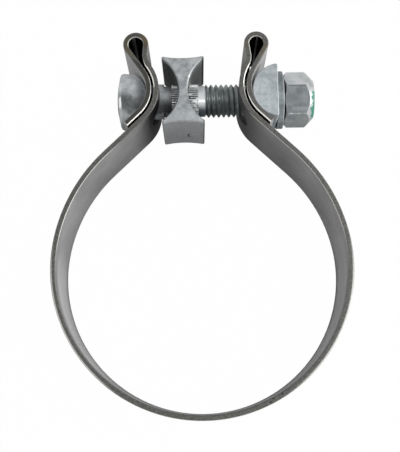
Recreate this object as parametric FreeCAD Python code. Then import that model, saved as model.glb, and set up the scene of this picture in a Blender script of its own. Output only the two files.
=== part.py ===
import FreeCAD, Part
import math
import os

# Open band clamp for an exhaust pipe, lying on one edge of its band.
# Z is the axis of the pipe and z = 0 is the lower edge of the band. X runs along the bolt, head at
# minus X and nut at plus X. Y runs from the pipe axis up between the two ears. Sizes in millimetres.

# Strip of the band. The seat is drawn 3.2 mm open, for a 101.6 mm pipe inside a 104.8 mm sleeve.
SEAT_RADIUS = 52.4
STRIP = 1.9
BAND_WIDTH = 31.75
EDGE_BREAK = 0.3

# Ring: a true arc that rises past the middle, then a wider shoulder, then a straight flare.
TRUE_ARC_RISE = 12.0
SHOULDER_EXTRA = 6.6
FLARE_RISE = 43.7

# Folded ears. Waist is where the inner layer comes nearest to the middle, hollow the bend that the
# saddle or head sits in, turn the bend above the waist, lean the tilt of the inner leg of the loop.
LAYER_GAP = 0.95
NUT_WAIST = 14.83
NUT_HOLLOW = 12.84
NUT_TURN = 29.0
NUT_LEAN = 8.6
NUT_NECK = 6.7
NUT_LOOP = 3.66
NUT_TAIL = 5.3
HEAD_WAIST = 15.07
HEAD_HOLLOW = 11.53
HEAD_TURN = 34.3
HEAD_LEAN = 6.6
HEAD_NECK = 8.6
HEAD_LOOP = 3.79
HEAD_TAIL = 6.5

# Slot through both layers of each ear, long in Y.
SLOT_LENGTH = 18.6
SLOT_DROP = 0.4
SLOT_SIDE_CLEARANCE = 0.4

# Bolt, half inch with 13 threads to the inch. The thread is a plain cylinder at its outer diameter.
# It hangs a little below the middle of the two hollows.
BOLT_DROP = 0.3
BOLT_DIA = 12.7
SHANK_DIA = 12.0
KNURL_DIA = 13.0
KNURL_LENGTH = 10.2
KNURL_SHIFT = 0.6
PLAIN_BAND = 2.8
NECK_HEIGHT = 13.6
NECK_REACH = 1.4
HEAD_DIA = 22.0
HEAD_SEAT_RADIUS = 10.0
HEAD_THICK = 11.1
HEAD_CROWN = 1.0
HEAD_ROUND = 1.2
END_CHAMFER = 1.3

# Hourglass block, pressed on the knurl.
BLOCK_WIDTH = 15.9
BLOCK_HEIGHT = 26.5
BLOCK_DEPTH = 28.4
BLOCK_WAIST = 3.4
BLOCK_LAND = 1.2
BLOCK_DISH = 0.8
BLOCK_ROUND = 0.62
BLOCK_BREAK = 0.45
BLOCK_CENTRE = -6.1

# Half-round saddle, washer and nut.
SADDLE_RADIUS = 10.4
SADDLE_FLAT_BACK = 0.85
SADDLE_LENGTH = 25.4
SADDLE_CORNER = 0.8
SADDLE_BREAK = 0.25
WASHER_DIA = 22.2
WASHER_THICK = 2.3
NUT_FLATS = 18.7
NUT_CORNERS = 21.3
NUT_LENGTH = 11.75
NUT_ANGLE = 17.5
NUT_FOOT_RADIUS = 8.9
NUT_FOOT_RISE = 1.5
NUT_CONE_RADIUS = 8.4
NUT_CONE_LENGTH = 2.3
NUT_CROWN_RADIUS = 7.3
NUT_CROWN_LENGTH = 1.0

# Clearances between pieces, and of the holes that run on the bolt.
SEAT_CLEARANCE = 0.4
FACE_CLEARANCE = 0.1
HOLE_CLEARANCE = 0.4
THREAD_CLEARANCE = 0.05

# Values that follow from the sizes above.
RING_MID = SEAT_RADIUS + STRIP / 2
SHOULDER_MID = RING_MID + SHOULDER_EXTRA
BOLT_Z = BAND_WIDTH / 2
LAYER_STEP = STRIP + LAYER_GAP
SWEEP = math.radians(90.0 - FLARE_RISE - TRUE_ARC_RISE)
FLARE_DISTANCE = RING_MID + SHOULDER_EXTRA * (1 - math.cos(SWEEP))


# A station is a point on the middle line of the strip with the direction of travel there.
def station(x, y, heading):
    return (x, y, heading)


def shifted(point, offset):
    x, y, heading = point
    return FreeCAD.Vector(x - offset * math.sin(heading), y + offset * math.cos(heading), 0)


# A straight piece of the strip has two stations, a bent piece has three.
def straight(start, length):
    x, y, heading = start
    end = station(x + length * math.cos(heading), y + length * math.sin(heading), heading)
    return [start, end]


def bend(start, radius, turn):
    x, y, heading = start
    side = math.copysign(1.0, turn)
    cx = x - side * radius * math.sin(heading)
    cy = y + side * radius * math.cos(heading)
    stations = []
    for part_of_turn in (0.0, 0.5, 1.0):
        h = heading + turn * part_of_turn
        stations.append(station(cx + side * radius * math.sin(h), cy - side * radius * math.cos(h), h))
    return stations


def cross(a, b):
    return a[0] * b[1] - a[1] * b[0]


# Centre of the waist bend: the inner layer touches the waist line and runs on from the flare line.
def waist_centre(waist, hollow):
    radius = hollow + STRIP / 2 + LAYER_STEP
    rise = math.radians(FLARE_RISE)
    cx = waist + STRIP / 2 + radius
    cy = (FLARE_DISTANCE + radius - cx * math.sin(rise)) / math.cos(rise)
    return cx, cy


# Lengths of the two straight legs that carry the loop, from where each leg starts.
def loop_legs(inner_end, outer_end, radius):
    a = inner_end[2]
    b = outer_end[2]
    d1 = (math.cos(a), math.sin(a))
    d2 = (math.cos(b), math.sin(b))
    gap_x = outer_end[0] - radius * math.sin(b) - inner_end[0] - radius * math.sin(a)
    gap_y = outer_end[1] + radius * math.cos(b) - inner_end[1] + radius * math.cos(a)
    span = (gap_x, gap_y)
    return cross(span, d2) / cross(d1, d2), cross(span, d1) / cross(d1, d2)


# One ear on the plus X side, from the top of the flare to the free end of the strip.
def ear_path(waist, hollow, turn_deg, lean_deg, neck, loop, tail):
    cx, cy = waist_centre(waist, hollow)
    turn = math.radians(turn_deg)
    lean = math.radians(lean_deg)
    flare = math.radians(90.0 + 90.0 - FLARE_RISE)
    below = flare - math.pi / 2
    inner_radius = hollow + STRIP / 2 + LAYER_STEP
    outer_radius = hollow + STRIP / 2
    inner_low = station(cx - inner_radius * math.sin(flare), cy + inner_radius * math.cos(flare), flare)
    outer_low = station(cx - outer_radius * math.sin(flare), cy + outer_radius * math.cos(flare), flare)
    inner_bend = bend(inner_low, inner_radius, -(below + turn))
    outer_bend = bend(outer_low, outer_radius, -(below + turn))
    neck_bend = bend(inner_bend[-1], neck, turn + lean)
    inner_leg, outer_leg = loop_legs(neck_bend[-1], outer_bend[-1], loop)
    first_leg = straight(neck_bend[-1], inner_leg)
    loop_bend = bend(first_leg[-1], loop, -(math.pi + lean + turn))
    second_leg = straight(loop_bend[-1], outer_leg)
    return_bend = bend(second_leg[-1], outer_radius, below + turn)
    free_end = straight(return_bend[-1], tail)
    return [inner_bend, neck_bend, first_leg, loop_bend, second_leg, return_bend, free_end]


# Right half of the ring, from its lowest point to the end of the shoulder.
def half_ring_path():
    rise = math.radians(TRUE_ARC_RISE)
    true_arc = bend(station(0.0, -RING_MID, 0.0), RING_MID, math.pi / 2 + rise)
    shoulder = bend(true_arc[-1], SHOULDER_MID, SWEEP)
    return [true_arc, shoulder]


def half_path(ear):
    ring = half_ring_path()
    flare = [ring[-1][-1], ear[0][0]]
    return ring + [flare] + ear


# The same path on the minus X side, run from its free end to the lowest point of the ring.
def mirrored(path):
    result = []
    for piece in reversed(path):
        result.append([station(-x, y, -heading) for x, y, heading in reversed(piece)])
    return result


def side_edges(path, offset):
    edges = []
    for piece in path:
        points = [shifted(point, offset) for point in piece]
        if len(points) == 2:
            edges.append(Part.LineSegment(points[0], points[1]).toShape())
        else:
            edges.append(Part.Arc(points[0], points[1], points[2]).toShape())
    return edges


def strip_outline(path):
    left = side_edges(path, STRIP / 2)
    right = side_edges(path, -STRIP / 2)
    start = path[0][0]
    end = path[-1][-1]
    caps = []
    for point in (start, end):
        a = shifted(point, STRIP / 2)
        b = shifted(point, -STRIP / 2)
        caps.append(Part.LineSegment(a, b).toShape())
    return Part.Wire(Part.__sortEdges__(left + right + caps))


def vector(x, y, z):
    return FreeCAD.Vector(x, y, z)


# Prism with round ends, long in Y, from x0 to x1, centred on the bolt.
def oval_prism(x0, x1, height, width, centre_y):
    radius = width / 2
    half = height / 2 - radius
    middle = Part.makeBox(x1 - x0, 2 * half, width, vector(x0, centre_y - half, BOLT_Z - radius))
    shape = middle
    for end_y in (centre_y - half, centre_y + half):
        end = Part.makeCylinder(radius, x1 - x0, vector(x0, end_y, BOLT_Z), vector(1, 0, 0))
        shape = shape.fuse(end)
    return shape.removeSplitter()


def bolt_cylinder(diameter, x0, x1):
    return Part.makeCylinder(diameter / 2, x1 - x0, vector(x0, BOLT_Y, BOLT_Z), vector(1, 0, 0))


# Solid turned about the bolt axis from a profile of (x, radius) points.
def turned(profile):
    points = [vector(x, BOLT_Y + radius, BOLT_Z) for x, radius in profile]
    first = vector(profile[0][0], BOLT_Y, BOLT_Z)
    last = vector(profile[-1][0], BOLT_Y, BOLT_Z)
    face = Part.Face(Part.makePolygon([first] + points + [last, first]))
    return face.revolve(vector(0, BOLT_Y, BOLT_Z), vector(1, 0, 0), 360)


# Edges of a flat-ended solid that lie in the planes z = low and z = high.
def rim_edges(shape, low, high):
    rims = []
    for edge in shape.Edges:
        box = edge.BoundBox
        flat = box.ZLength < 1e-6
        if flat and min(abs(box.ZMin - low), abs(box.ZMin - high)) < 1e-6:
            rims.append(edge)
    return rims


NUT_EAR = ear_path(NUT_WAIST, NUT_HOLLOW, NUT_TURN, NUT_LEAN, NUT_NECK, NUT_LOOP, NUT_TAIL)
HEAD_EAR = ear_path(HEAD_WAIST, HEAD_HOLLOW, HEAD_TURN, HEAD_LEAN, HEAD_NECK, HEAD_LOOP, HEAD_TAIL)
NUT_BEND_X, NUT_BEND_Y = waist_centre(NUT_WAIST, NUT_HOLLOW)
HEAD_BEND_X, HEAD_BEND_Y = waist_centre(HEAD_WAIST, HEAD_HOLLOW)
BOLT_Y = (NUT_BEND_Y + HEAD_BEND_Y) / 2 - BOLT_DROP


# Distance in X of the centre of a round that rests in a hollow with the seat clearance all round.
def rest_in_hollow(bend_x, bend_y, hollow, radius):
    room = hollow - radius - SEAT_CLEARANCE
    aside = min(abs(bend_y - BOLT_Y), room)
    from_bend = bend_x - math.sqrt(room * room - aside * aside)
    rise = math.radians(FLARE_RISE)
    wall = FLARE_DISTANCE + STRIP / 2 + LAYER_STEP
    from_wall = (wall + radius + SEAT_CLEARANCE - BOLT_Y * math.cos(rise)) / math.sin(rise)
    return max(from_bend, from_wall)


SADDLE_CENTRE = rest_in_hollow(NUT_BEND_X, NUT_BEND_Y, NUT_HOLLOW, SADDLE_RADIUS)
HEAD_CENTRE = -rest_in_hollow(HEAD_BEND_X, HEAD_BEND_Y, HEAD_HOLLOW, HEAD_SEAT_RADIUS)
SADDLE_FACE = SADDLE_CENTRE - SADDLE_FLAT_BACK
WASHER_FACE = SADDLE_FACE + FACE_CLEARANCE
NUT_FACE = WASHER_FACE + WASHER_THICK + FACE_CLEARANCE
NUT_END = NUT_FACE + NUT_LENGTH
HEAD_CROWN_X = HEAD_CENTRE + HEAD_SEAT_RADIUS
HEAD_FACE = HEAD_CROWN_X - HEAD_THICK
KNURL_START = BLOCK_CENTRE + KNURL_SHIFT - KNURL_LENGTH / 2
KNURL_END = BLOCK_CENTRE + KNURL_SHIFT + KNURL_LENGTH / 2
THREAD_START = KNURL_END + PLAIN_BAND
NECK_END = NECK_REACH - HEAD_WAIST
BOLT_END = NUT_END - FACE_CLEARANCE


# Band: one strip, folded back on itself at both ends, with a slot through each ear.
def make_band():
    path = mirrored(half_path(HEAD_EAR)) + half_path(NUT_EAR)
    band = Part.Face(strip_outline(path)).extrude(vector(0, 0, BAND_WIDTH))
    band = band.makeChamfer(EDGE_BREAK, rim_edges(band, 0, BAND_WIDTH))
    width = BOLT_DIA + 2 * SLOT_SIDE_CLEARANCE
    slot_y = BOLT_Y - SLOT_DROP
    reach = 2 * NUT_LOOP + NUT_HOLLOW
    nut_slot = oval_prism(NUT_WAIST / 2, NUT_WAIST + reach, SLOT_LENGTH, width, slot_y)
    head_slot = oval_prism(-HEAD_WAIST - reach, -HEAD_WAIST / 2, SLOT_LENGTH, width, slot_y)
    return band.cut(nut_slot).cut(head_slot)


# Head: round about the bolt axis, with an underside that is round about Z to sit in the hollow.
def make_head():
    r = HEAD_DIA / 2
    back = HEAD_CROWN_X
    profile = [(HEAD_FACE, r * 0.45), (HEAD_FACE + HEAD_CROWN, r - HEAD_ROUND)]
    profile = profile + [(HEAD_FACE + HEAD_CROWN + 0.35 * HEAD_ROUND, r - 0.3 * HEAD_ROUND)]
    profile = profile + [(HEAD_FACE + HEAD_CROWN + HEAD_ROUND, r), (back, r)]
    body = turned(profile)
    seat = Part.makeCylinder(HEAD_SEAT_RADIUS, BAND_WIDTH, vector(HEAD_CENTRE, BOLT_Y, 0))
    beyond = HEAD_CENTRE - HEAD_FACE + 1.0
    block = Part.makeBox(beyond, 2 * r, BAND_WIDTH, vector(HEAD_CENTRE - beyond, BOLT_Y - r, 0))
    return body.common(seat.fuse(block))


# Bolt: head, oval neck in the slot, shank, knurl, plain band and thread, one forging.
def make_bolt():
    neck = oval_prism(HEAD_CENTRE, NECK_END, NECK_HEIGHT, BOLT_DIA, BOLT_Y)
    bolt = make_head().fuse(neck)
    bolt = bolt.fuse(bolt_cylinder(SHANK_DIA, HEAD_CENTRE, KNURL_START))
    bolt = bolt.fuse(bolt_cylinder(KNURL_DIA, KNURL_START, KNURL_END))
    bolt = bolt.fuse(bolt_cylinder(SHANK_DIA, KNURL_END, THREAD_START))
    r = BOLT_DIA / 2
    end = [(THREAD_START, r), (BOLT_END - END_CHAMFER, r), (BOLT_END, r - END_CHAMFER)]
    return bolt.fuse(turned(end)).removeSplitter()


# Block: hourglass outline with hollow flanks that match the ears, drawn in XY and run along Z.
def make_block():
    x = BLOCK_WIDTH / 2
    y = BLOCK_HEIGHT / 2
    land = y - BLOCK_LAND
    waist = BLOCK_WAIST / 2
    corners = [vector(x, -land, 0), vector(x, -y, 0), vector(-x, -y, 0), vector(-x, -land, 0)]
    corners = corners + [vector(-x, land, 0), vector(-x, y, 0), vector(x, y, 0), vector(x, land, 0)]
    right = Part.Arc(corners[7], vector(waist, 0, 0), corners[0]).toShape()
    left = Part.Arc(corners[3], vector(-waist, 0, 0), corners[4]).toShape()
    bottom = Part.Arc(corners[1], vector(0, -y + BLOCK_DISH, 0), corners[2]).toShape()
    top = Part.Arc(corners[5], vector(0, y - BLOCK_DISH, 0), corners[6]).toShape()
    lands = [Part.makeLine(corners[a], corners[a + 1]) for a in (0, 2, 4, 6)]
    face = Part.Face(Part.Wire(Part.__sortEdges__([right, left, bottom, top] + lands)))
    block = face.extrude(vector(0, 0, BLOCK_DEPTH))
    upright = [edge for edge in block.Edges if edge.BoundBox.ZLength > BLOCK_DEPTH / 2]
    block = block.makeFillet(BLOCK_ROUND, upright)
    block = block.makeChamfer(BLOCK_BREAK, rim_edges(block, 0, BLOCK_DEPTH))
    block.translate(vector(BLOCK_CENTRE, BOLT_Y, BOLT_Z - BLOCK_DEPTH / 2))
    return block.cut(bolt_cylinder(KNURL_DIA, BLOCK_CENTRE - BLOCK_WIDTH, BLOCK_CENTRE + BLOCK_WIDTH))


# Saddle: half-round bar outside the nut ear, with its flat face to the washer.
def make_saddle():
    bar = Part.makeCylinder(SADDLE_RADIUS, SADDLE_LENGTH)
    keep = Part.makeBox(SADDLE_RADIUS, 2 * SADDLE_RADIUS, SADDLE_LENGTH)
    keep.translate(vector(-SADDLE_FLAT_BACK - SADDLE_RADIUS, -SADDLE_RADIUS, 0))
    bar = bar.common(keep)
    upright = [edge for edge in bar.Edges if edge.BoundBox.ZLength > SADDLE_LENGTH / 2]
    corners = [edge for edge in upright if abs(edge.Vertexes[0].Y) > SADDLE_RADIUS / 2]
    bar = bar.makeFillet(SADDLE_CORNER, corners)
    bar = bar.makeChamfer(SADDLE_BREAK, rim_edges(bar, 0, SADDLE_LENGTH))
    bar.translate(vector(SADDLE_CENTRE, BOLT_Y, BOLT_Z - SADDLE_LENGTH / 2))
    hole = BOLT_DIA + 2 * HOLE_CLEARANCE
    return bar.cut(bolt_cylinder(hole, SADDLE_CENTRE - 2 * SADDLE_RADIUS, SADDLE_CENTRE + SADDLE_RADIUS))


def make_washer():
    end = WASHER_FACE + WASHER_THICK
    ring = bolt_cylinder(WASHER_DIA, WASHER_FACE, end)
    return ring.cut(bolt_cylinder(BOLT_DIA + 2 * HOLE_CLEARANCE, WASHER_FACE - 1, end + 1))


# Nut: hexagon with a chamfered foot and a coned, locking top. Its angle is measured from plus Y.
def make_nut():
    corners = []
    for k in range(7):
        angle = math.radians(NUT_ANGLE + 60 * k)
        reach = NUT_FLATS / math.sqrt(3)
        corners.append(vector(NUT_FACE, BOLT_Y + reach * math.cos(angle), BOLT_Z + reach * math.sin(angle)))
    hexagon = Part.Face(Part.makePolygon(corners)).extrude(vector(NUT_LENGTH, 0, 0))
    outer = NUT_CORNERS / 2
    cone_start = NUT_END - NUT_CONE_LENGTH - NUT_CROWN_LENGTH
    profile = [(NUT_FACE, NUT_FOOT_RADIUS), (NUT_FACE + NUT_FOOT_RISE, outer), (cone_start, outer)]
    profile = profile + [(NUT_END - NUT_CROWN_LENGTH, NUT_CONE_RADIUS), (NUT_END, NUT_CROWN_RADIUS)]
    nut = hexagon.common(turned(profile))
    return nut.cut(bolt_cylinder(BOLT_DIA + 2 * THREAD_CLEARANCE, NUT_FACE - 1, NUT_END + 1))


os.makedirs("parts", exist_ok=True)
pieces = {
    "band": make_band(),
    "bolt": make_bolt(),
    "spacer_block": make_block(),
    "saddle": make_saddle(),
    "washer": make_washer(),
    "nut": make_nut(),
}
for name, shape in pieces.items():
    solid = shape.Solids[0]
    box = solid.optimalBoundingBox(False, False)
    sizes = "x %.2f..%.2f y %.2f..%.2f z %.2f..%.2f"
    print(name, len(shape.Solids), shape.isValid(), round(solid.Volume, 1))
    print(sizes % (box.XMin, box.XMax, box.YMin, box.YMax, box.ZMin, box.ZMax))
    solid.exportStep("parts/" + name + ".step")
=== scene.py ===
import math

import bmesh
import bpy
from mathutils import Matrix, Vector
from mathutils.bvhtree import BVHTree


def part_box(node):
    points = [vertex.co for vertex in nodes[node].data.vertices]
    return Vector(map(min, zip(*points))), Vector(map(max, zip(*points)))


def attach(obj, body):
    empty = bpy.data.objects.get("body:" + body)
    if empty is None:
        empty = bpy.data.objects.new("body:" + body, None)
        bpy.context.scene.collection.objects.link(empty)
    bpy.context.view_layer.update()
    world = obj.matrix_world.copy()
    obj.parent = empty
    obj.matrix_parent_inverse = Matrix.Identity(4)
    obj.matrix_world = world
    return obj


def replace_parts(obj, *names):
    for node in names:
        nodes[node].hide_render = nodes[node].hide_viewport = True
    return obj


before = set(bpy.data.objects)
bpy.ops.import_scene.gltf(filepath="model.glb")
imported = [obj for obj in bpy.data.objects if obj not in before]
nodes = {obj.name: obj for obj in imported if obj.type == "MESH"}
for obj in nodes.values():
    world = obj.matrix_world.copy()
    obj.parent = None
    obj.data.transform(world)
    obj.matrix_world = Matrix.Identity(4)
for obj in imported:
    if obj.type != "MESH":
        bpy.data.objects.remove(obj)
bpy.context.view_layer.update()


# Band: one strip of mill-finished steel, slit to width, rolled to a ring and folded into two
# slotted ears. Its slit edges are rougher and browner than its rolled faces.
X, Y, Z = range(3)


def start_of(node, axis):
    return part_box(node)[0][axis]


def end_of(node, axis):
    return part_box(node)[1][axis]


BAND_WIDTH = end_of("band", Z)
THICKNESS = 0.0019
EDGE_BREAK = 0.0003
LAYER_GAP = 0.00095
SAME_POINT = 2e-6

# Each ear has a half-round hollow for the head or saddle. Past it the free end runs on straight,
# on the nut's side along FREE_LEG, and mirrored on the head's.
HEAD_EAR = {"hollow": (-0.03135, 0.06663), "radius": 0.01153, "side": -1, "lip": 0.00027}
NUT_EAR = {"hollow": (0.03242, 0.06742), "radius": 0.01284, "side": 1, "lip": 0.00033}
FREE_LEG = (0.722, -0.692)

# Heights above the pipe's axis, between which a change of the surface, or of its painted light and
# shade, comes in.
LOW_HALF = (-0.0060, 0.0120)
LOW_SIDES = (-0.0040, 0.0100)
FLARES = (0.0340, 0.0440)
RING_END = (0.0400, 0.0480)
EAR_FOOT = (0.0495, 0.0580)
BELOW_BOLT = (0.0575, 0.0675)
UPPER_EAR = (0.0640, 0.0720)
AT_BOLT = (0.0660, 0.0690)
WAIST_END = (0.0720, 0.0790)
RUSTED = (0.0720, 0.0860)
LOOPS = (0.0740, 0.0800)
GAP_END = (0.0755, 0.0770)
LOOP_TOPS = (0.0800, 0.0840)

# Distances from the ring's middle plane or axis, between which a change comes in.
EARS_APART = (0.0130, 0.0140)
RING_SIDES = (0.0280, 0.0440)
RIM_SIDES = (0.0280, 0.0400)
OUTER_RIM = (0.0535, 0.0540)

# Depths below the nearer slit edge, and distances across a fold, in the same way.
LINE_DEPTH = (0.0003, 0.0004)
FOLD_DEPTH = (0.0003, 0.0009)
LIP_DEPTH = (0.0005, 0.0011)
RIM_DEPTH = (0.0005, 0.0075)
TIGHT_FOLD = (0.0014, 0.0024)

# Small pits in the ring's slit edge, by their places in the ring's plane.
PITS = ((0.0238, -0.0469), (0.0271, -0.0455), (0.0229, -0.0482))
PIT_RADIUS = (0.0002, 0.0005)


class Value:
    """One number, colour or vector of a finish, to be used in sums and products."""

    def __init__(self, owner, socket):
        self.owner = owner
        self.socket = socket

    def maths(self, operation, *others):
        return self.owner.node("ShaderNodeMath", {"operation": operation}, dict(enumerate(others)))

    def __add__(self, other):
        return self.maths("ADD", self, other)

    def __radd__(self, other):
        return self.maths("ADD", other, self)

    def __sub__(self, other):
        return self.maths("SUBTRACT", self, other)

    def __rsub__(self, other):
        return self.maths("SUBTRACT", other, self)

    def __mul__(self, other):
        return self.maths("MULTIPLY", self, other)

    def __rmul__(self, other):
        return self.maths("MULTIPLY", other, self)

    def __neg__(self):
        return self.maths("SUBTRACT", 0.0, self)

    def __abs__(self):
        return self.maths("ABSOLUTE", self)

    def part(self, name):
        return self.owner.node("ShaderNodeSeparateXYZ", {}, {"Vector": self}, name)


class Nodes:
    """The nodes of a material or of the world, and the one way to add to them."""

    def __init__(self, holder):
        holder.use_nodes = True
        self.tree = holder.node_tree

    def node(self, kind, settings, sockets, output=0):
        made = self.tree.nodes.new(kind)
        for name, value in settings.items():
            setattr(made, name, value)
        for name, value in sockets.items():
            if isinstance(value, Value):
                self.tree.links.new(value.socket, made.inputs[name])
            else:
                made.inputs[name].default_value = value
        return Value(self, made.outputs[output])


class Finish(Nodes):
    """A material, with its shader and the layers that are laid on it."""

    def __init__(self, name, **constants):
        self.material = bpy.data.materials.new(name)
        super().__init__(self.material)
        self.shader = self.tree.nodes["Principled BSDF"]
        for socket, value in constants.items():
            self.shader.inputs[socket.replace("_", " ")].default_value = value
        self.place = self.node("ShaderNodeTexCoord", {}, {}, "Object")
        self.facing = self.node("ShaderNodeTexCoord", {}, {}, "Normal")

    def places(self):
        return [self.place.part(axis) for axis in "XYZ"]

    def step(self, value, low, high):
        """Rises softly from 0 at the low limit to 1 at the high one."""
        settings = {"interpolation_type": "SMOOTHSTEP"}
        return self.node("ShaderNodeMapRange", settings, {0: value, 1: low, 2: high})

    def fade(self, value, low, high):
        """Falls softly from 1 at the low limit to 0 at the high one."""
        return 1 - self.step(value, low, high)

    def between(self, value, low, high, soft=0.0001):
        """Is 1 between two limits, with soft sides just outside them."""
        return self.step(value, low - soft, low) * self.fade(value, high, high + soft)

    def noise(self, scale, detail=3.0, roughness=0.55, stretch=(1, 1, 1), offset=0.0):
        place = self.node("ShaderNodeMapping", {}, {0: self.place, 1: (offset,) * 3, 3: stretch})
        sockets = {"Vector": place, "Scale": scale, "Detail": detail, "Roughness": roughness}
        return self.node("ShaderNodeTexNoise", {}, sockets)

    def reach(self, **spot):
        """How far a point is from a spot, of which only the axes that are given count."""
        counted = [1.0 if axis in spot else 0.0 for axis in "xyz"]
        target = [spot.get(axis, 0.0) for axis in "xyz"]
        place = self.node("ShaderNodeVectorMath", {"operation": "MULTIPLY"}, {0: self.place, 1: counted})
        sockets = {0: place, 1: target}
        return self.node("ShaderNodeVectorMath", {"operation": "DISTANCE"}, sockets, "Value")

    def mix(self, factor, first, second):
        first, second = (tone if isinstance(tone, Value) else (*tone, 1.0) for tone in (first, second))
        return self.node("ShaderNodeMix", {"data_type": "RGBA"}, {0: factor, 6: first, 7: second}, 2)

    def over(self, base, tone, mask, share=None):
        """Lays a tone over the base where the mask is 1, up to a share of it."""
        return self.mix(mask if share is None else mask * share, base, tone)

    def bump(self, height, strength, distance=0.0001):
        sockets = {"Height": height, "Strength": strength, "Distance": distance}
        return self.node("ShaderNodeBump", {}, sockets)

    def set(self, **links):
        for socket, value in links.items():
            self.tree.links.new(value.socket, self.shader.inputs[socket.replace("_", " ")])
        return self.material


def grey(level):
    return (level, level, level)


def dress(piece, material):
    piece.data.materials.clear()
    piece.data.materials.append(material)


def finished(bm, name, body, material, sharp=35):
    """Makes a piece of a mesh, smooth but for the edges that turn more than so many degrees."""
    bmesh.ops.remove_doubles(bm, verts=bm.verts, dist=SAME_POINT)
    bmesh.ops.recalc_face_normals(bm, faces=bm.faces)
    for face in bm.faces:
        face.smooth = True
    for edge in bm.edges:
        edge.smooth = edge.calc_face_angle(0.0) < math.radians(sharp)
    mesh = bpy.data.meshes.new(name)
    bm.to_mesh(mesh)
    bm.free()
    piece = bpy.data.objects.new(name, mesh)
    bpy.context.collection.objects.link(piece)
    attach(piece, body)
    dress(piece, material)
    return piece


def measure_folds(bm):
    """Writes on each wall how far off the wall across the fold stands, for the finish to follow."""
    upright, lift, widest_fold = 0.3, 0.0004, 0.008
    level = BAND_WIDTH - 0.0015
    across = bm.faces.layers.float.new("across")
    walls = BVHTree.FromBMesh(bm)
    for face in bm.faces:
        flat = Vector((face.normal.x, face.normal.y, 0))
        if flat.length > upright:
            flat.normalize()
            middle = face.calc_center_median()
            start = Vector((middle.x, middle.y, level)) + flat * lift
            spot, normal, _, distance = walls.ray_cast(start, flat, widest_fold)
            if spot is not None and normal.dot(flat) < 0:
                face[across] = distance + lift


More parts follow.
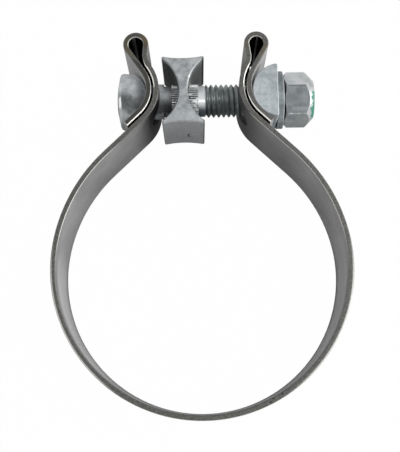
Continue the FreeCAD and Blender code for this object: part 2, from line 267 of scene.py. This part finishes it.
class StripSteel(Finish):
    """Mill-finished strip: rolled faces, slit edges, and the broken corners between the two."""

    def __init__(self):
        super().__init__("strip_steel")
        self.x, self.y, z = self.places()
        self.on_head = self.step(-self.x, 0.0, 0.0001)
        self.low_half = self.fade(self.y, *LOW_HALF)
        self.depth = BAND_WIDTH / 2 - abs(z - BAND_WIDTH / 2)
        self.slit = self.fade(self.depth, 0.2 * EDGE_BREAK, 0.6 * EDGE_BREAK)
        corner = self.fade(self.depth, 0.9 * EDGE_BREAK, 1.1 * EDGE_BREAK)
        self.broken = corner * (1 - self.slit)
        across = self.node("ShaderNodeAttribute", {"attribute_name": "across"}, {}, "Fac")
        self.fold = self.step(across, 0.0001, 0.0002)
        # Painted highlight on the top of the gap walls in tight folds that face the foot of the ring
        # (the lip), and painted shade deeper in every fold.
        lip = self.fold * self.fade(across, *TIGHT_FOLD) * self.step(-self.facing.part("Y"), 0.1, 0.35)
        self.lip = lip * self.fade(self.depth, *LIP_DEPTH) * (1 - self.slit)
        self.painted_fold_shade = self.fold * self.step(self.depth, *FOLD_DEPTH) * (1 - self.lip)
        self.streak = self.noise(150, 4, 0.6, (1, 1, 14))
        self.speck = self.noise(2600, 2)
        self.shear = self.noise(1300, 3, 0.6, (1, 1, 0.15))

    def off_hollow(self, ear):
        """How far a point is from the middle of an ear's hollow, or from a line on from it
        along the free end."""
        x, y = self.x - ear["hollow"][0], self.y - ear["hollow"][1]
        along = x * (FREE_LEG[0] * ear["side"]) + y * FREE_LEG[1]
        aside = x * (FREE_LEG[1] * ear["side"]) - y * FREE_LEG[0]
        straight = self.step(along, 0.0, 0.0001)
        round_part = self.reach(x=ear["hollow"][0], y=ear["hollow"][1])
        return round_part * (1 - straight) + aside * straight

    def painted_gap_highlight(self, ear):
        """A painted highlight on the sheared edge along the gap of an ear, which is on the outer layer
        below the bolt and on the inner layer above it."""
        off = self.off_hollow(ear)
        outer = ear["radius"] + THICKNESS
        inner = outer + LAYER_GAP
        above = self.step(self.y, *AT_BOLT)
        width = ear["lip"] * self.fade(self.y, *BELOW_BOLT)
        below_line = self.between(off, outer - width, outer + 0.0001) * (1 - above)
        above_line = self.between(off, inner - 0.0001, inner + 0.0003) * above
        return below_line + above_line * self.fade(self.y, *GAP_END)

    def painted_gap_highlights(self):
        line = self.painted_gap_highlight(HEAD_EAR) * self.on_head + self.painted_gap_highlight(NUT_EAR) * (1 - self.on_head)
        return line * self.fade(self.depth, *LINE_DEPTH) * self.step(abs(self.x), *EARS_APART)

    def rolled_face(self):
        """Grey and lightly streaked, with painted shade where an ear faces the other one, on the flares,
        in the loops and near the low rim, and painted light on the outer ear faces and the low sides of
        the ring.
        """
        y = self.y
        toward_gap = self.facing.part("X") * (2 * self.on_head - 1)
        inward, outward = self.step(toward_gap, 0.15, 0.35), self.step(-toward_gap, 0.1, 0.3)
        cloud = self.noise(60, 4)
        face = self.mix(self.step(cloud * 0.5 + self.streak * 0.5, 0.38, 0.62), grey(0.30), grey(0.42))
        face = self.over(face, grey(0.18), self.step(self.speck, 0.5, 0.8), 0.3)
        # Painted shade on the inward faces of the flare on the nut's side.
        face = self.over(face, grey(0.14), self.step(y, *FLARES) * inward * (1 - self.on_head), 0.4)
        # Painted shadow on the ear faces that face the other ear, from the foot up to the waist.
        painted_shade = self.step(y, *EAR_FOOT) * self.fade(y, *WAIST_END) * (1 - self.fold) * inward
        face = self.over(face, grey(0.012), painted_shade, 0.75 + 0.25 * self.on_head)
        # Painted light on the outward faces of the upper ears.
        face = self.over(face, grey(0.70), self.step(y, *UPPER_EAR) * outward, 0.08)
        # Painted shade on the inward faces of the loops.
        face = self.over(face, grey(0.14), self.step(y, *LOOPS) * inward, 0.75)
        # Painted light on the low sides of the ring, more on the head's side.
        sides = self.step(-self.x, *RING_SIDES) * 0.4 + self.step(self.x, *RING_SIDES) * 0.15
        face = self.over(face, grey(0.72), sides * self.fade(y, *LOW_SIDES))
        # Painted shade near the slit edges on the low half of the ring.
        painted_rim_shade = self.fade(self.depth, *RIM_DEPTH) * self.low_half
        return self.over(face, (0.07, 0.07, 0.068), painted_rim_shade, 0.75)

    def slit_edge(self):
        """Brownish and rough, with rust on the loops, a painted highlight on the outer rim and a few
        pits.
        """
        edge = self.mix(self.step(self.shear, 0.35, 0.65), (0.064, 0.063, 0.058), (0.113, 0.111, 0.105))
        inner_wall, outer_wall = HEAD_EAR["radius"], HEAD_EAR["radius"] + THICKNESS
        outer_layer = self.between(self.off_hollow(HEAD_EAR), inner_wall, outer_wall) * self.on_head
        edge = self.over(edge, (0.03, 0.03, 0.024), outer_layer, 0.85)
        edge = self.over(edge, (0.040, 0.038, 0.031), self.step(self.y, *LOOP_TOPS) * self.on_head, 0.65)
        rust = self.step(self.noise(180, 3, 0.6, offset=3.0), 0.42, 0.62)
        edge = self.over(edge, (0.12, 0.09, 0.04), self.step(self.y, *RUSTED) * rust, 0.6)
        # Painted highlight on the outer rim of the low half of the ring.
        painted_glint = self.step(self.reach(x=0.0, y=0.0), *OUTER_RIM) * self.low_half
        edge = self.over(edge, (0.56, 0.55, 0.53), painted_glint * self.step(abs(self.x), *RIM_SIDES), 0.9)
        ragged = (self.speck - 0.5) * 0.0003
        for x, y in PITS:
            pit = self.fade(self.reach(x=x, y=y, z=BAND_WIDTH) + ragged, *PIT_RADIUS)
            edge = self.over(edge, grey(0.006), pit)
        return edge

    def with_corners(self, colour):
        """The broken corners carry a painted highlight where they face the foot of the ring, painted
        shade elsewhere, and the darkest painted shade where an ear's corner faces the nut."""
        off_ring = self.step(self.y, *RING_END)
        lit = self.step(-self.facing.part("Y") + self.facing.part("X") * off_ring * 0.6, 0.04, 0.25)
        to_nut = self.step(self.facing.part("X"), 0.3, 0.55) * off_ring * (1 - self.fold)
        colour = self.over(colour, (0.08, 0.078, 0.073), self.broken * (1 - lit), 0.8)
        colour = self.over(colour, (0.60, 0.58, 0.54), self.broken * lit, 0.7 - 0.6 * to_nut)
        return self.over(colour, (0.05, 0.05, 0.045), self.broken * to_nut, 0.95)

    def material_for_band(self):
        line = self.painted_gap_highlights()
        colour = self.with_corners(self.mix(self.slit, self.rolled_face(), self.slit_edge()))
        colour = self.over(colour, (0.92, 0.90, 0.86), self.lip)
        colour = self.over(colour, (0.90, 0.88, 0.84), line)
        colour = self.over(colour, grey(0.008), self.painted_fold_shade)
        rough = 0.42 + 0.14 * self.slit + 0.12 * self.broken + (self.speck - 0.5) * 0.25
        height = self.speck * 0.6 + self.shear * self.slit + self.streak * 0.5
        # Lips and lines carry painted highlights and count as bare colour, so that they stay light. The
        # painted shade inside a fold counts as metal, which has no gloss where it is black.
        metal = (0.6 - 0.2 * self.slit - 0.45 * self.broken) * (1 - self.fold * (1 - self.slit))
        return self.set(
            Base_Color=colour,
            Roughness=rough + 0.5 * self.painted_fold_shade,
            Metallic=metal * (1 - line) + self.painted_fold_shade,
            Normal=self.bump(height, 0.2),
        )


strip = bmesh.new()
strip.from_mesh(nodes["band"].data)
bmesh.ops.remove_doubles(strip, verts=strip.verts, dist=SAME_POINT)
bmesh.ops.recalc_face_normals(strip, faces=strip.faces)
measure_folds(strip)
STRIP_STEEL = StripSteel().material_for_band()
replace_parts(finished(strip, "folded_band", "band", STRIP_STEEL), "band")


# Bolt: one forging, zinc plated. The head is round with a half-round underside that sits in the ear,
# its shank carries a straight knurl for the block, and the rolled thread runs to the end.
AXIS_Y = (start_of("washer", Y) + end_of("washer", Y)) / 2
AXIS_Z = BAND_WIDTH / 2
BOLT_END = end_of("bolt", X)
KNURL_START = -0.0106
KNURL_END = -0.0004
KNURL_CREST = 0.00650
KNURL_ROOT = 0.00605
KNURL_RIBS = 46
POINTS_PER_RIB = 4
PLAIN_RADIUS = 0.00600
PLAIN_BEVEL = 0.0004
THREAD_START = 0.0024
THREAD_CREST = 0.00635
THREAD_ROOT = 0.00530
PITCH = 0.0254 / 13
THREAD_RUN_IN = 1.5 * PITCH
THREAD_END = BOLT_END - 0.0003
ROOT_FLAT = 0.10
CREST_FROM = 0.47
CREST_TO = 0.62
POINT_START = BOLT_END - 0.0012
POINT_BASE = THREAD_ROOT + 0.0002
POINT_TIP = THREAD_ROOT - 0.0003

# Places along the bolt, between which painted shade and a painted highlight on the plating change. The
# last is measured towards the head.
BESIDE_EAR = (-0.0250, -0.0215)
PAST_EAR = (-0.0205, -0.0195)
HEAD_CHAMFER = (0.0292, 0.0298)

# Heights above the pipe's axis, between which the painted light, shade and highlight change.
LIT_UNDERSIDE = (0.0590, 0.0620)
SHANK_LOW = (0.0605, 0.0615)
SHANK_MIDDLE = (0.0640, 0.0665)
LIT_TOP = (0.0640, 0.0685)
GLINT_HEIGHT = 0.0633
UNDER_THREAD = (AXIS_Y - 0.0050, AXIS_Y + 0.0025)
UNDER_PLAIN = (AXIS_Y - 0.0050, AXIS_Y - 0.0030)


def shade(tone, share):
    return tuple(share * part for part in tone)


def zinc_finish(name, dull, bright, roughness, metallic, painted_shade=0.0, rim=None):
    """Clouded, grainy zinc. It may carry painted shade on the underside, or a painted highlight on the
    chamfer at an outer rim.
    """
    f = Finish(name, Metallic=metallic)
    cloud = f.noise(160, 5) * 0.5 + f.noise(560, 4, 0.6) * 0.5
    grain = f.noise(2200, 3)
    colour = f.mix(f.step(cloud, 0.36, 0.64), dull, bright)
    colour = f.over(colour, shade(dull, 0.6), f.step(grain, 0.55, 0.8), 0.4)
    # Painted shade on the underside.
    if painted_shade:
        under = f.fade(f.place.part("Y"), *UNDER_THREAD)
        colour = f.over(colour, shade(dull, 0.25), under, painted_shade)
    # Painted highlight on the chamfer of an outer rim.
    if rim:
        chamfer = f.step(f.place.part("X"), rim - 0.0003, rim - 0.0001)
        chamfer = chamfer * f.fade(f.facing.part("X"), 0.85, 0.95)
        colour = f.over(colour, (0.80, 0.82, 0.83), chamfer, 0.7)
    rough = roughness + (cloud - 0.5) * 0.2 + (grain - 0.5) * 0.2
    return f.set(Base_Color=colour, Roughness=rough, Normal=f.bump(cloud * 1.5 + grain * 0.5, 0.25))


def forged_zinc():
    """Plating of the head and shank with painted light and shade: dark in the middle, lit above and
    below, painted shade beside the ear and under the shank, and a painted highlight on the head's
    chamfer."""
    f = Finish("zinc_plate")
    x, y, z = f.places()
    cloud = f.noise(150, 5, 0.6)
    grain = f.noise(2200, 3)
    mottle = f.step(cloud * 0.5 + f.noise(420, 3, 0.6) * 0.5, 0.38, 0.62)
    height = y + (f.noise(230, 4, 0.6, offset=5.0) - 0.5) * 0.006
    # Painted light and shade: a dark middle band, a lit top and a lit underside.
    middle = f.mix(mottle, (0.088, 0.096, 0.100), (0.152, 0.160, 0.164))
    top = f.mix(mottle, (0.377, 0.402, 0.418), (0.607, 0.631, 0.648))
    underside = f.mix(mottle, (0.323, 0.348, 0.357), (0.476, 0.501, 0.510))
    colour = f.over(middle, top, f.step(height, *LIT_TOP))
    colour = f.over(colour, underside, f.fade(height, *LIT_UNDERSIDE))
    # Painted shade on the neck beside the ear.
    neck = f.step(x, *BESIDE_EAR) * f.fade(x, *PAST_EAR)
    colour = f.over(colour, (0.05, 0.055, 0.06), neck, 0.6)
    # Painted shade on the lower half of the shank.
    shank = f.step(x, *PAST_EAR) * f.step(height, *SHANK_LOW) * f.fade(height, *SHANK_MIDDLE)
    colour = f.over(colour, (0.06, 0.065, 0.07), shank, 0.85)
    colour = f.over(colour, (0.2, 0.21, 0.22), f.step(grain, 0.55, 0.8), 0.3)
    # Painted highlight on the head's chamfer.
    painted_glint = f.step((cloud - 0.5) * 0.0006 - x, *HEAD_CHAMFER)
    painted_glint = painted_glint * f.fade(abs(y - GLINT_HEIGHT + (cloud - 0.5) * 0.001), 0.0012, 0.0026)
    painted_glint = painted_glint * f.step(z, AXIS_Z + 0.006, AXIS_Z + 0.009)
    colour = f.over(colour, grey(0.98), painted_glint)
    return f.set(
        Base_Color=colour,
        Roughness=0.36 + (cloud - 0.5) * 0.25 + (grain - 0.5) * 0.2 - painted_glint * 0.18,
        Metallic=0.3 - 0.2 * painted_glint,
        Normal=f.bump(cloud * 1.5 + grain * 0.5, 0.25),
    )


def knurl_finish():
    """Crests lighter than the grooves, which carry painted shade, and burrs with painted glints and dark
    specks over both.
    """
    f = Finish("knurl_zinc", Metallic=0.5)
    burrs_and_glints = f.noise(750, 3, 0.6, (0.5, 1, 1))
    # Painted shade in the grooves, below the crests.
    crest = f.step(f.reach(y=AXIS_Y, z=AXIS_Z), KNURL_ROOT, KNURL_CREST)
    colour = f.mix(crest, (0.12, 0.13, 0.135), (0.80, 0.83, 0.84))
    colour = f.over(colour, (0.95, 0.97, 0.98), f.step(burrs_and_glints, 0.48, 0.62))
    colour = f.over(colour, (0.1, 0.11, 0.115), f.fade(burrs_and_glints, 0.3, 0.42))
    return f.set(Base_Color=colour, Roughness=0.24 + burrs_and_glints * 0.2, Normal=f.bump(burrs_and_glints, 0.4, 0.00015))


def bright_zinc():
    """Plating of the smooth band beside the block, with painted shade on its underside."""
    f = Finish("bright_zinc", Metallic=0.35)
    cloud = f.noise(300, 3)
    colour = f.mix(f.step(cloud, 0.3, 0.7), (0.84, 0.88, 0.90), (0.96, 0.98, 0.99))
    # Painted shade on the underside.
    colour = f.over(colour, (0.11, 0.14, 0.16), f.fade(f.place.part("Y"), *UNDER_PLAIN), 0.95)
    return f.set(Base_Color=colour, Roughness=0.2 + cloud * 0.1, Normal=f.bump(cloud, 0.1))


def cut_square(bm, place, keep_start):
    """Cuts a mesh square to the bolt, and keeps its part towards the bolt's head or its end."""
    everything = bm.verts[:] + bm.edges[:] + bm.faces[:]
    bmesh.ops.bisect_plane(
        bm, geom=everything, plane_co=(place, 0, 0), plane_no=(1, 0, 0),
        clear_outer=keep_start, clear_inner=not keep_start,
    )


def close_cuts(bm):
    bmesh.ops.holes_fill(bm, edges=[edge for edge in bm.edges if edge.is_boundary], sides=0)


def turned(profile, steps=96, pitch=0.0):
    """Spins a profile of places and radii once round the bolt, as a helix if a pitch is given."""
    bm = bmesh.new()
    verts = [bm.verts.new((x, AXIS_Y + radius, AXIS_Z)) for x, radius in profile]
    edges = [bm.edges.new(pair) for pair in zip(verts, verts[1:])]
    bmesh.ops.spin(
        bm, geom=verts + edges, cent=(0, AXIS_Y, AXIS_Z), axis=(1, 0, 0), dvec=(pitch / steps, 0, 0),
        angle=2 * math.pi, steps=steps, use_merge=pitch == 0.0,
    )
    return bm


def thread(start, end):
    """A rolled thread with flat crests and roots, cut square at both ends."""
    profile = []
    for number in range(math.ceil((end - start) / PITCH) + 3):
        x = start - THREAD_RUN_IN + number * PITCH
        profile += [(x, THREAD_ROOT), (x + ROOT_FLAT * PITCH, THREAD_ROOT)]
        profile += [(x + CREST_FROM * PITCH, THREAD_CREST), (x + CREST_TO * PITCH, THREAD_CREST)]
    profile.append((profile[-1][0] + (1 - CREST_TO) * PITCH, THREAD_ROOT))
    bm = turned(profile, 72, PITCH)
    bmesh.ops.remove_doubles(bm, verts=bm.verts, dist=SAME_POINT)
    cut_square(bm, start, keep_start=False)
    cut_square(bm, end, keep_start=True)
    close_cuts(bm)
    return bm


def straight_knurl():
    """A ring with a flat rib and a flat groove in turn, drawn out along the bolt."""
    bm = bmesh.new()
    count = KNURL_RIBS * POINTS_PER_RIB
    ring = bmesh.ops.create_circle(bm, cap_ends=True, segments=count, radius=KNURL_CREST)["verts"]
    for number, vert in enumerate(ring):
        if number % POINTS_PER_RIB >= POINTS_PER_RIB // 2:
            vert.co *= KNURL_ROOT / KNURL_CREST
    onto_bolt = Matrix.Translation((KNURL_START, AXIS_Y, AXIS_Z)) @ Matrix.Rotation(math.pi / 2, 4, "Y")
    bmesh.ops.transform(bm, matrix=onto_bolt, verts=bm.verts)
    drawn = bmesh.ops.extrude_face_region(bm, geom=bm.faces[:])["geom"]
    far_end = [part for part in drawn if isinstance(part, bmesh.types.BMVert)]
    bmesh.ops.translate(bm, vec=(KNURL_END - KNURL_START, 0, 0), verts=far_end)
    return bm


head = bmesh.new()
head.from_mesh(nodes["bolt"].data)
bmesh.ops.remove_doubles(head, verts=head.verts, dist=SAME_POINT)
cut_square(head, KNURL_START, keep_start=True)
close_cuts(head)
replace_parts(finished(head, "bolt_head", "bolt", forged_zinc()), "bolt")

finished(straight_knurl(), "bolt_knurl", "bolt", knurl_finish(), 20)

plain_band = [(KNURL_END, 0), (KNURL_END, PLAIN_RADIUS), (THREAD_START - PLAIN_BEVEL, PLAIN_RADIUS)]
plain_band += [(THREAD_START, PLAIN_RADIUS - PLAIN_BEVEL), (THREAD_START, 0)]
finished(turned(plain_band), "bolt_plain_band", "bolt", bright_zinc())

dull_zinc, light_zinc = (0.225, 0.250, 0.254), (0.380, 0.412, 0.417)
# The thread carries painted shade on its underside.
THREAD_ZINC = zinc_finish("thread_zinc", dull_zinc, light_zinc, 0.33, 0.75, painted_shade=0.72)
thread_part = thread(THREAD_START, THREAD_END)
finished(thread_part, "bolt_thread", "bolt", THREAD_ZINC, 60)

point = [(POINT_START, 0), (POINT_START, POINT_BASE), (BOLT_END, POINT_TIP), (BOLT_END, 0)]
finished(turned(point), "bolt_end", "bolt", THREAD_ZINC)


# Spacer block: an hourglass block cut from a drawn bar, dull galvanised, pressed on the knurl between
# the ears. Its hollow flanks carry painted shade, darker than its faces, and its front has a dark nick.
BLOCK_FOOT = (0.0570, 0.0610)
NUT_FLANK = (0.0008, 0.0013)
NICK = {"x": -0.0046, "z": 0.0123, "half_width": (0.00025, 0.00045), "half_length": (0.0018, 0.0024)}
NICK_TOP = (0.0546, 0.0550)


def block_finish():
    f = Finish("galvanised_block", Metallic=0.35)
    x, y, z = f.places()
    side = f.facing.part("X")
    cloud = f.noise(130, 5, 0.6) * 0.5 + f.noise(520, 4, 0.6) * 0.5
    grain = f.noise(1500, 3)
    colour = f.mix(f.step(cloud, 0.36, 0.64), (0.218, 0.235, 0.244), (0.412, 0.428, 0.437))
    colour = f.over(colour, (0.24, 0.26, 0.27), f.step(grain, 0.5, 0.8), 0.4)
    lower_face = f.fade(y, *BLOCK_FOOT) * f.step(f.facing.part("Z"), 0.8, 0.95)
    colour = f.over(colour, (0.50, 0.53, 0.54), lower_face, 0.35)
    # Painted light and shade by facing: faces turned to the foot of the ring are lighter and the flanks
    # darker. The nut's flank also has a near-black line along its edge.
    colour = f.over(colour, (0.52, 0.52, 0.53), f.step(-f.facing.part("Y"), 0.5, 0.8), 0.5)
    colour = f.over(colour, (0.12, 0.13, 0.135), f.step(-side, 0.45, 0.8))
    nut_flank = f.mix(f.step(cloud, 0.4, 0.6), (0.17, 0.18, 0.18), (0.24, 0.25, 0.25))
    colour = f.over(colour, nut_flank, f.step(side, 0.45, 0.8))
    colour = f.over(colour, grey(0.02), f.step(x, *NUT_FLANK) * f.step(side, 0.2, 0.4), 0.9)
    off_middle = abs(z - NICK["z"])
    nick = f.fade(abs(x - NICK["x"] - off_middle * 0.3), *NICK["half_width"])
    nick = nick * f.fade(off_middle, *NICK["half_length"]) * f.fade(y, *NICK_TOP)
    colour = f.over(colour, grey(0.01), nick)
    bump = f.bump(cloud * 1.5 + grain * 0.6, 0.3)
    return f.set(Base_Color=colour, Roughness=0.45 + (grain - 0.5) * 0.3, Normal=bump)


dress(nodes["spacer_block"], block_finish())


# Saddle: a half-round bar with a hole for the bolt, dull galvanised. It sits loose in the hollow
# of the nut ear, and the washer bears on its flat.
dull_zinc, light_zinc = (0.276, 0.309, 0.324), (0.438, 0.476, 0.491)
GALVANISED = zinc_finish("galvanised_saddle", dull_zinc, light_zinc, 0.5, 0.35)
dress(nodes["saddle"], GALVANISED)


# Washer: a ring punched from sheet, in dark, rough zinc, loose on the bolt between the saddle and
# the nut. The chamfer at its outer edge carries a painted highlight.
dull_zinc, light_zinc = (0.165, 0.188, 0.196), (0.280, 0.308, 0.320)
WASHER_RIM = end_of("washer", X)
WASHER_ZINC = zinc_finish("washer_steel", dull_zinc, light_zinc, 0.5, 0.45, rim=WASHER_RIM)
dress(nodes["washer"], WASHER_ZINC)


# Nut: a cold-formed hexagon with a coned, locking top, zinc plated, run up the thread against the
# washer. Its end carries a mark of green paint.
NUT_END = end_of("nut", X)
NUT_FOOT = (0.0327, 0.0332)
RUB = {"y": 0.0606, "half_width": (0.0004, 0.0009), "from": (0.0345, 0.0360)}
PAINT = {"y": 0.0630, "half_width": (0.0044, 0.0050), "green": (0.025, 0.17, 0.11)}


def nut_finish():
    f = Finish("nut_steel")
    x, y, z = f.places()
    cloud = f.noise(260, 5, 0.6)
    grain = f.noise(1800, 3)
    mottle = f.step(cloud, 0.35, 0.65)
    colour = f.mix(mottle, (0.136, 0.150, 0.156), (0.211, 0.228, 0.235))
    # Painted light and shade: the low flats, top flats and cone get lighter tones of the zinc, by the
    # way they face.
    low_flat = f.mix(mottle, (0.306, 0.332, 0.340), (0.425, 0.451, 0.459))
    colour = f.over(colour, low_flat, f.step(-f.facing.part("Y"), 0.3, 0.5))
    colour = f.over(colour, (0.13, 0.14, 0.145), f.step(grain, 0.5, 0.75), 0.5)
    on_top_flat = f.step(f.facing.part("Y"), 0.3, 0.5)
    top_flat = f.mix(mottle, (0.508, 0.533, 0.541), (0.656, 0.672, 0.681))
    colour = f.over(colour, top_flat, on_top_flat)
    rub = f.fade(abs(y - RUB["y"] + (cloud - 0.5) * 0.001), *RUB["half_width"]) * f.step(x, *RUB["from"])
    colour = f.over(colour, (0.34, 0.38, 0.39), rub * f.step(z, AXIS_Z, AXIS_Z + 0.002), 0.3)
    cone = f.mix(mottle, (0.33, 0.345, 0.35), (0.48, 0.495, 0.50))
    colour = f.over(colour, cone, f.step(f.facing.part("X"), 0.3, 0.5))
    # The foot chamfer: painted shade next to the washer, painted light beyond it.
    foot = f.mix(f.step(x, *NUT_FOOT), grey(0.02), (0.55, 0.57, 0.58))
    colour = f.over(colour, foot, f.step(-f.facing.part("X"), 0.2, 0.5))
    blot = (f.noise(520, 3, 0.6, offset=1.0) - 0.5) * 0.0040
    paint = f.step(x + blot, NUT_END - 0.0013, NUT_END - 0.0011)
    paint = paint * f.step(z, AXIS_Z + 0.001, AXIS_Z + 0.002)
    paint = paint * f.fade(abs(y - PAINT["y"]) + (cloud - 0.5) * 0.003, *PAINT["half_width"])
    colour = f.over(colour, PAINT["green"], paint)
    return f.set(
        Base_Color=colour,
        Roughness=0.38 + (grain - 0.5) * 0.25 + paint * 0.2,
        Metallic=(0.6 - on_top_flat * 0.15) * (1 - paint),
        Normal=f.bump(cloud * 1.5 + grain * 0.5, 0.3),
    )


dress(nodes["nut"], nut_finish())


# Floor and light: a plain white floor under soft lamps, and a pale world all round. The clamp lies
# flat on the floor, and the camera looks down on it as in the photograph.
def floor_finish():
    """Keeps the object's shadow. The camera sees it white, and metal mirrors an eighth of that."""
    f = Finish("floor_white", Base_Color=(*grey(0.4), 1.0), Roughness=0.9)
    camera = f.node("ShaderNodeLightPath", {}, {}, "Is Camera Ray")
    mirror = f.node("ShaderNodeLightPath", {}, {}, "Is Glossy Ray")
    white = f.node("ShaderNodeEmission", {}, {"Strength": 1.0})
    sockets = {0: camera * 0.99 + mirror * 0.12, 1: Value(f, f.shader.outputs[0]), 2: white}
    blend = f.node("ShaderNodeMixShader", {}, sockets)
    f.tree.links.new(blend.socket, f.tree.nodes["Material Output"].inputs["Surface"])
    return f.material


ground = bmesh.new()
bmesh.ops.create_grid(ground, x_segments=1, y_segments=1, size=3.0)
bmesh.ops.translate(ground, vec=(0, 0, -0.0001), verts=ground.verts)
floor_mesh = bpy.data.meshes.new("floor")
ground.to_mesh(floor_mesh)
ground.free()
floor_mesh.materials.append(floor_finish())
floor = bpy.data.objects.new("floor", floor_mesh)
bpy.context.collection.objects.link(floor)

CENTRE = (0.0, 0.03, 0.015)
HEAD_TOP = (-0.03, 0.064, 0.022)
BETWEEN_EARS = (0.0, 0.066, 0.02)


def lamp(name, place, aim, width, watts):
    data = bpy.data.lights.new(name, "AREA")
    data.shape = "DISK"
    data.size = width
    data.energy = watts
    made = bpy.data.objects.new(name, data)
    bpy.context.collection.objects.link(made)
    made.location = place
    made.rotation_euler = (Vector(aim) - Vector(place)).to_track_quat("-Z", "Y").to_euler()


def around(azimuth, rise, distance):
    turn, tilt = math.radians(azimuth), math.radians(rise)
    flat = distance * math.cos(tilt)
    return (flat * math.cos(turn), CENTRE[Y] + flat * math.sin(turn), distance * math.sin(tilt))


for name, azimuth, rise, distance, width, watts in (
    ("key", 5, 15, 0.8, 0.28, 6.0),
    ("high", 15, 62, 0.8, 0.25, 2.0),
    ("back", 166, 16, 0.8, 0.3, 2.0),
    ("low_right", -33, 14, 0.7, 0.2, 0.45),
    ("low_left", -147, 14, 0.7, 0.2, 0.45),
):
    lamp(name, around(azimuth, rise, distance), CENTRE, width, watts)
lamp("glint", around(182, 18, 0.8), HEAD_TOP, 0.08, 0.15)
lamp("front", (0.0, -0.154, 0.78), BETWEEN_EARS, 0.12, 0.35)

world = bpy.data.worlds.new("studio")
bpy.context.scene.world = world
sky = Nodes(world)
seen = sky.node("ShaderNodeLightPath", {}, {}, "Is Camera Ray")
around_all = sky.tree.nodes["Background"]
around_all.inputs["Color"].default_value = (1, 1, 1, 1)
# The camera sees the world white. All other rays, glossy ones too, find it at this strength.
WORLD_LIGHT = 0.5
strength = WORLD_LIGHT + seen * (1 - WORLD_LIGHT)
sky.tree.links.new(strength.socket, around_all.inputs["Strength"])

lens = bpy.data.cameras.new("camera")
lens.lens = 70.29
lens.sensor_width = 36.0
lens.clip_start = 0.01
camera = bpy.data.objects.new("camera", lens)
bpy.context.collection.objects.link(camera)
camera.location = (-0.001249, -0.047004, 0.343274)
camera.rotation_euler = (0.19422, 0.00087, -0.015708)
bpy.context.scene.camera = camera
bpy.context.scene.view_settings.view_transform = "Standard"
